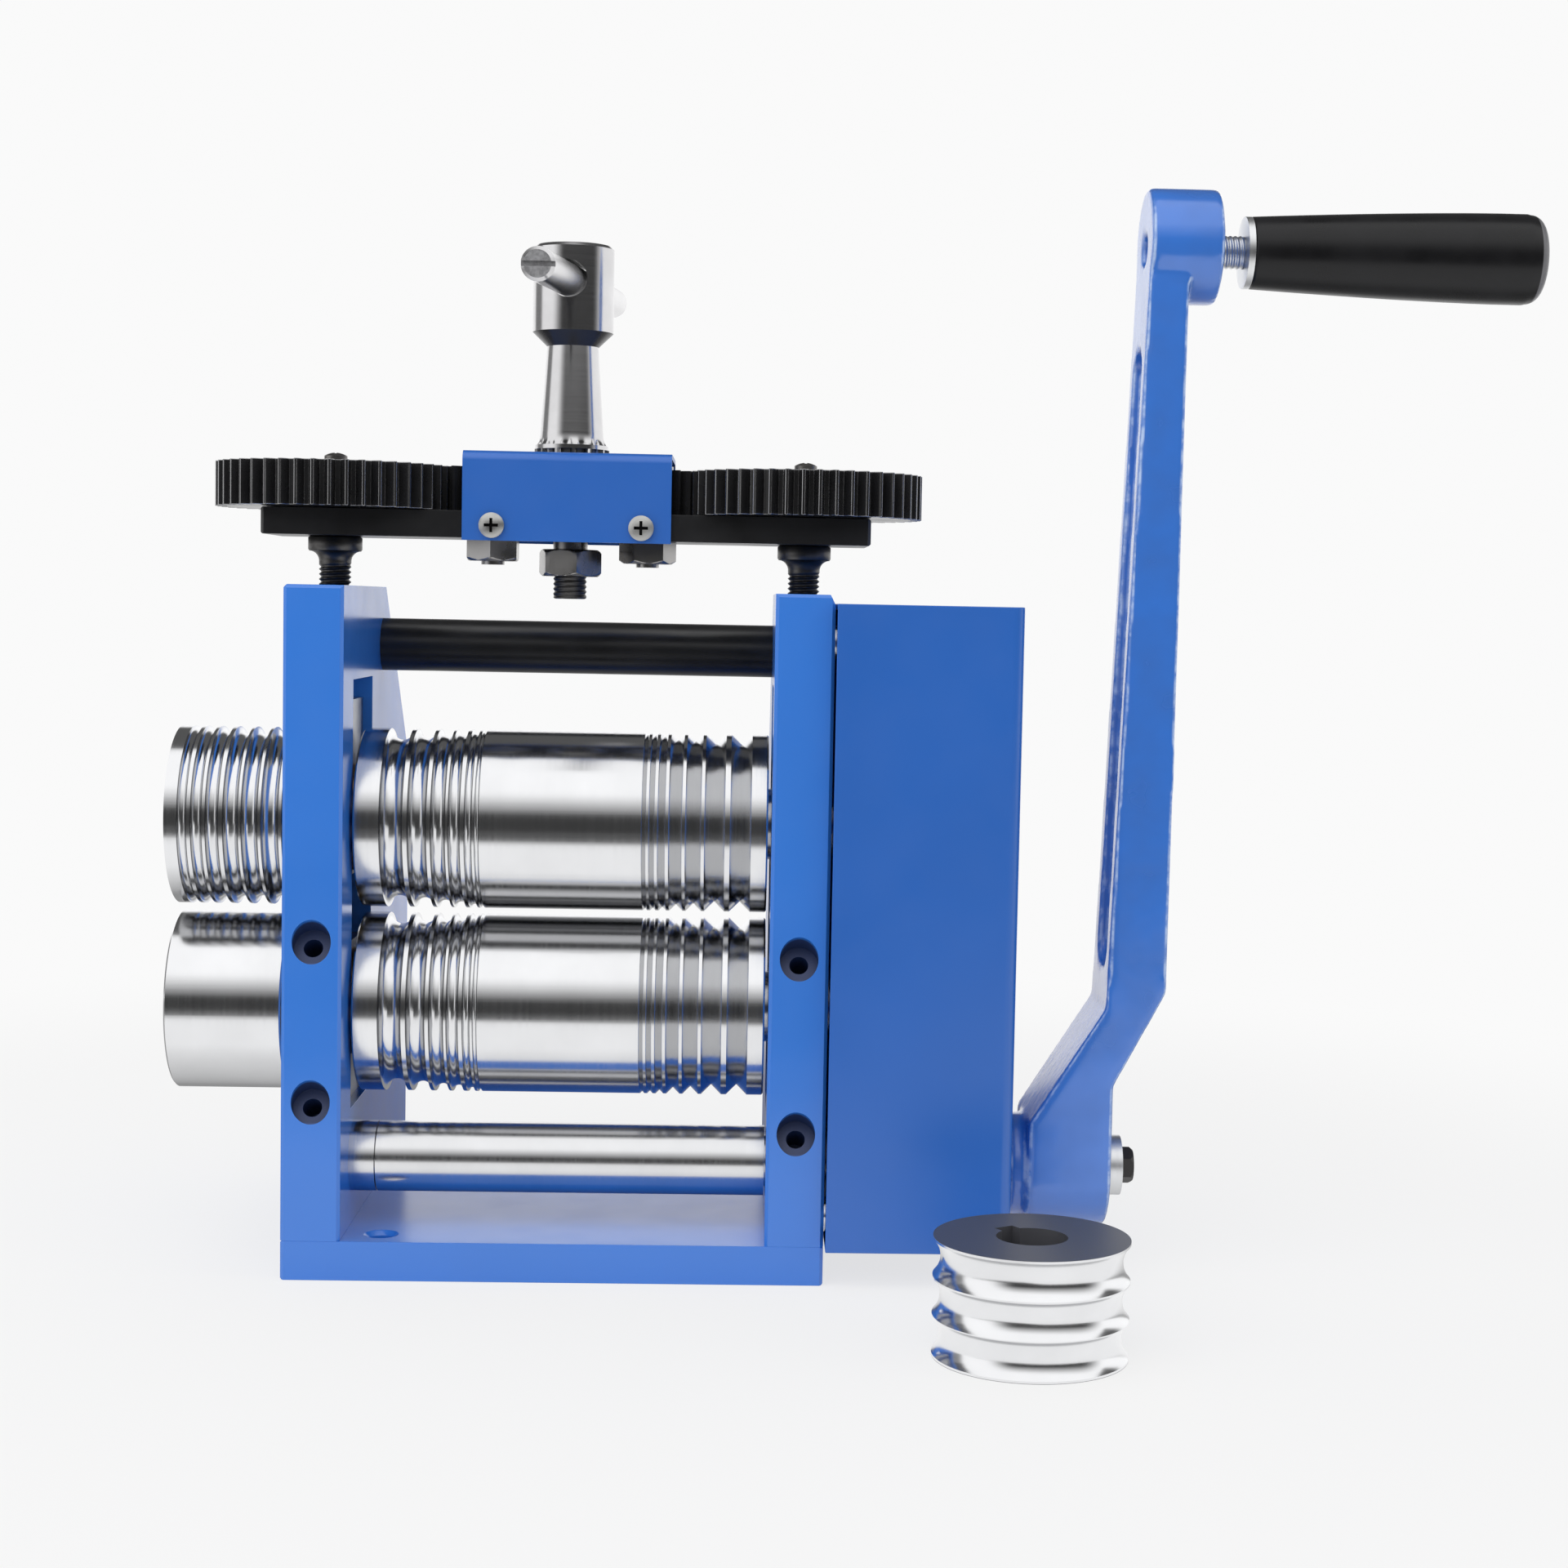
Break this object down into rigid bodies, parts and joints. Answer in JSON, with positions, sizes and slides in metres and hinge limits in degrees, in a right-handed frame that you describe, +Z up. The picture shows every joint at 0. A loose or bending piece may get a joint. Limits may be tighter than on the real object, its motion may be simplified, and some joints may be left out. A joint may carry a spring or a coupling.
{
  "type": "jewellers rolling mill",
  "caption": "Hand cranked bench rolling mill with grooved and flat rolls, side rolls, geared screw-down, T-handle, gear cover and a spare side roll.",
  "frame": {"origin": "centre of the base plate's underside, midway between the side plates", "axes": "X along the rolls towards the crank, Y from the front to the rear, Z up"},
  "size_m": [0.3361, 0.1995, 0.27],
  "materials": {
    "blue_paint": "smooth satin enamel",
    "blue_sheet": "smooth satin enamel on sheet",
    "cast_paint": "enamel over rough casting",
    "roll_steel": "ground and polished",
    "block_steel": "machined, dull",
    "bright_steel": "drawn and bright",
    "handle_steel": "turned, dull",
    "gear_steel": "cut, oiled",
    "black_gear": "black oxide",
    "screw_steel": "threaded, dark",
    "spring_steel": "wound wire",
    "zinc": "zinc plated",
    "bronze": "plain bearing bronze",
    "black_oxide": "black oxide",
    "black_grip": "moulded, satin",
    "cap_grey": "moulded, satin"
  },
  "bodies": {
    "frame": {"base_plate": "blue_paint", "left_side_plate": "blue_paint", "right_side_plate": "blue_paint", "frame_screws": "black_oxide", "upper_tie_bar": "black_oxide", "lower_left_block": "block_steel", "lower_right_block": "block_steel", "lower_left_bush": "bronze", "lower_right_bush": "bronze", "drive_bushes": "bright_steel", "gear_cover": "blue_sheet", "cover_pillars": "zinc", "cover_screws": "zinc", "spring_left_front": "spring_steel", "spring_left_rear": "spring_steel", "spring_right_front": "spring_steel", "spring_right_rear": "spring_steel"},
    "lower_roll_set": {"lower_roll": "roll_steel", "lower_side_roll": "roll_steel", "lower_side_screw": "black_oxide", "lower_roll_keys": "black_oxide", "lower_roll_gear": "gear_steel", "large_drive_gear": "gear_steel", "lower_gear_nut": "black_oxide"},
    "carriage": {"upper_left_block": "block_steel", "upper_right_block": "block_steel", "upper_left_bush": "bronze", "upper_right_bush": "bronze"},
    "upper_roll_set": {"upper_roll": "roll_steel", "upper_side_roll": "roll_steel", "upper_side_screw": "black_oxide", "upper_roll_keys": "black_oxide", "upper_roll_gear": "gear_steel", "upper_gear_nut": "black_oxide"},
    "crank": {"drive_shaft": "bright_steel", "drive_pinion": "gear_steel", "crank_arm": "cast_paint", "crank_washer": "zinc", "crank_bolt": "black_oxide", "grip_spindle": "zinc"},
    "grip": {"grip_handle": "black_grip", "grip_ferrule": "bright_steel", "grip_end_cap": "cap_grey"},
    "bridge": {"bridge_bar": "black_oxide", "bridge_cover": "blue_sheet", "bridge_cover_screws": "zinc", "idler_bolts": "handle_steel"},
    "left_screw": {"left_pressure_screw": "screw_steel", "left_adjusting_gear": "black_gear", "left_gear_screw": "zinc"},
    "right_screw": {"right_pressure_screw": "screw_steel", "right_adjusting_gear": "black_gear", "right_gear_screw": "zinc"},
    "left_idler": {"left_idler_gear": "black_gear"},
    "right_idler": {"right_idler_gear": "black_gear"},
    "handle": {"adjusting_handle": "handle_steel", "handle_nut": "handle_steel"},
    "cross_bar": {"cross_bar": "handle_steel"},
    "spare_roll": {"spare_roll": "roll_steel"}
  },
  "joints": [
    {"name": "lower_roll_turn", "type": "hinge", "parent": "frame", "child": "lower_roll_set", "pos_m": [0, -0.0279, 0.0637], "axis": [1, 0, 0], "continuous": true},
    {"name": "carriage_lift", "type": "slide", "parent": "frame", "child": "carriage", "axis": [0, 0, 1], "range_m": [-0.0008, 0.0045], "deforming": ["spring_left_front", "spring_left_rear", "spring_right_front", "spring_right_rear"]},
    {"name": "upper_roll_turn", "type": "hinge", "parent": "carriage", "child": "upper_roll_set", "pos_m": [0, -0.0279, 0.1104], "axis": [1, 0, 0], "continuous": true},
    {"name": "crank_turn", "type": "hinge", "parent": "frame", "child": "crank", "pos_m": [0, -0.0389, 0.02628], "axis": [1, 0, 0], "continuous": true},
    {"name": "grip_spin", "type": "hinge", "parent": "crank", "child": "grip", "pos_m": [0.2, -0.0389, 0.2549], "axis": [1, 0, 0], "continuous": true},
    {"name": "bridge_lift", "type": "slide", "parent": "frame", "child": "bridge", "axis": [0, 0, 1], "range_m": [-0.00081, 0.00451]},
    {"name": "left_screw_turn", "type": "hinge", "parent": "bridge", "child": "left_screw", "pos_m": [-0.05875, -0.0279, 0.1808], "axis": [0, 0, 1], "range_deg": [-230.41, 1296.01]},
    {"name": "right_screw_turn", "type": "hinge", "parent": "bridge", "child": "right_screw", "pos_m": [0.05875, -0.0279, 0.1808], "axis": [0, 0, 1], "range_deg": [-230.41, 1296.01]},
    {"name": "left_idler_turn", "type": "hinge", "parent": "bridge", "child": "left_idler", "pos_m": [-0.01937, -0.0279, 0.1808], "axis": [0, 0, 1], "range_deg": [-3240.01, 576.01]},
    {"name": "right_idler_turn", "type": "hinge", "parent": "bridge", "child": "right_idler", "pos_m": [0.01937, -0.0279, 0.1808], "axis": [0, 0, 1], "range_deg": [-3240.01, 576.01]},
    {"name": "handle_turn", "type": "hinge", "parent": "bridge", "child": "handle", "pos_m": [0, -0.0279, 0.1808], "axis": [0, 0, 1], "range_deg": [-797.55, 4486.16]},
    {"name": "cross_bar_slide", "type": "slide", "parent": "handle", "child": "cross_bar", "axis": [0.0749, 0.996, 0.0488], "range_m": [-0.062, 0.044]},
    {"name": "spare_roll_lift", "type": "slide", "parent": "frame", "child": "spare_roll", "axis": [0, 0, 1], "range_m": [0, 0.06]}
  ],
  "couplings": [
    {"joint": "upper_roll_turn", "follows": "lower_roll_turn", "ratio": -1},
    {"joint": "crank_turn", "follows": "lower_roll_turn", "ratio": -2.25},
    {"joint": "bridge_lift", "follows": "carriage_lift", "ratio": 1},
    {"joint": "left_screw_turn", "follows": "carriage_lift", "rad_per_m": 5026.5},
    {"joint": "right_screw_turn", "follows": "carriage_lift", "rad_per_m": 5026.5},
    {"joint": "left_idler_turn", "follows": "carriage_lift", "rad_per_m": -12566},
    {"joint": "right_idler_turn", "follows": "carriage_lift", "rad_per_m": -12566},
    {"joint": "handle_turn", "follows": "carriage_lift", "rad_per_m": 17400}
  ]
}
